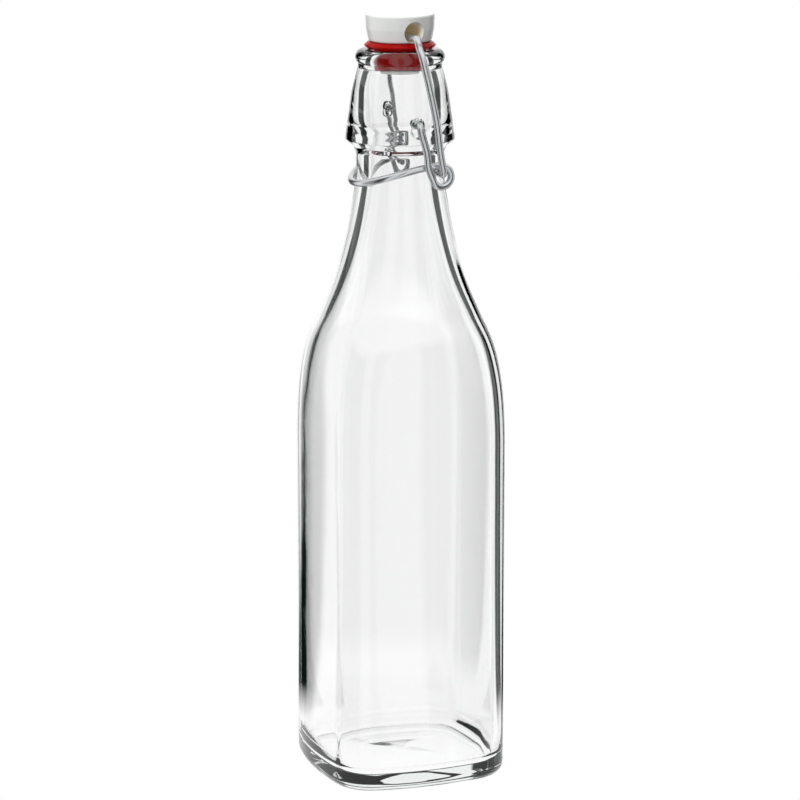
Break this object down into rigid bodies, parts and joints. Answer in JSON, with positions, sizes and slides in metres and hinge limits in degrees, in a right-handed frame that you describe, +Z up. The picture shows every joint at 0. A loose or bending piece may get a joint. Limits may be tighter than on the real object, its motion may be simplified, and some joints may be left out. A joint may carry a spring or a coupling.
{
  "type": "flip-top bottle",
  "caption": "Square clear-glass bottle with a long neck, closed by a white stopper with a red rubber gasket on a wire bail that a hinged wire lever pulls down and locks.",
  "frame": {"origin": "centre of the base, on the plane the bottle stands on", "axes": "+Z up along the bottle, flat sides facing X and Y, the lever's pivot along Y and its thumb loop toward -X when shut"},
  "size_m": [0.065, 0.065, 0.2602],
  "materials": {
    "clear_glass": "smooth clear soda-lime glass",
    "white_ceramic": "white glazed porcelain with a satin skin, bare tan clay inside the cross hole",
    "red_rubber": "smooth red rubber",
    "steel_wire": "bright drawn steel wire"
  },
  "bodies": {
    "glass": {"bottle": "clear_glass"},
    "lever": {"lever": "steel_wire"},
    "bail": {"bail": "steel_wire"},
    "closure": {"stopper": "white_ceramic", "gasket": "red_rubber"}
  },
  "joints": [
    {"name": "lever_pivot", "type": "hinge", "parent": "glass", "child": "lever", "pos_m": [0, 0, 0.225], "axis": [0, 1, 0], "range_deg": [0, 90], "deforming": ["gasket"]},
    {"name": "bail_pivot", "type": "hinge", "parent": "lever", "child": "bail", "pos_m": [0.00731, 0, 0.20858], "axis": [0, 1, 0], "range_deg": [-58, 0]},
    {"name": "stopper_pivot", "type": "hinge", "parent": "bail", "child": "closure", "pos_m": [0, 0, 0.2533], "axis": [0, 1, 0], "range_deg": [-33, 0]}
  ],
  "couplings": [
    {"joint": "bail_pivot", "follows": "lever_pivot", "ratio": -0.64},
    {"joint": "stopper_pivot", "follows": "lever_pivot", "ratio": -0.36}
  ]
}
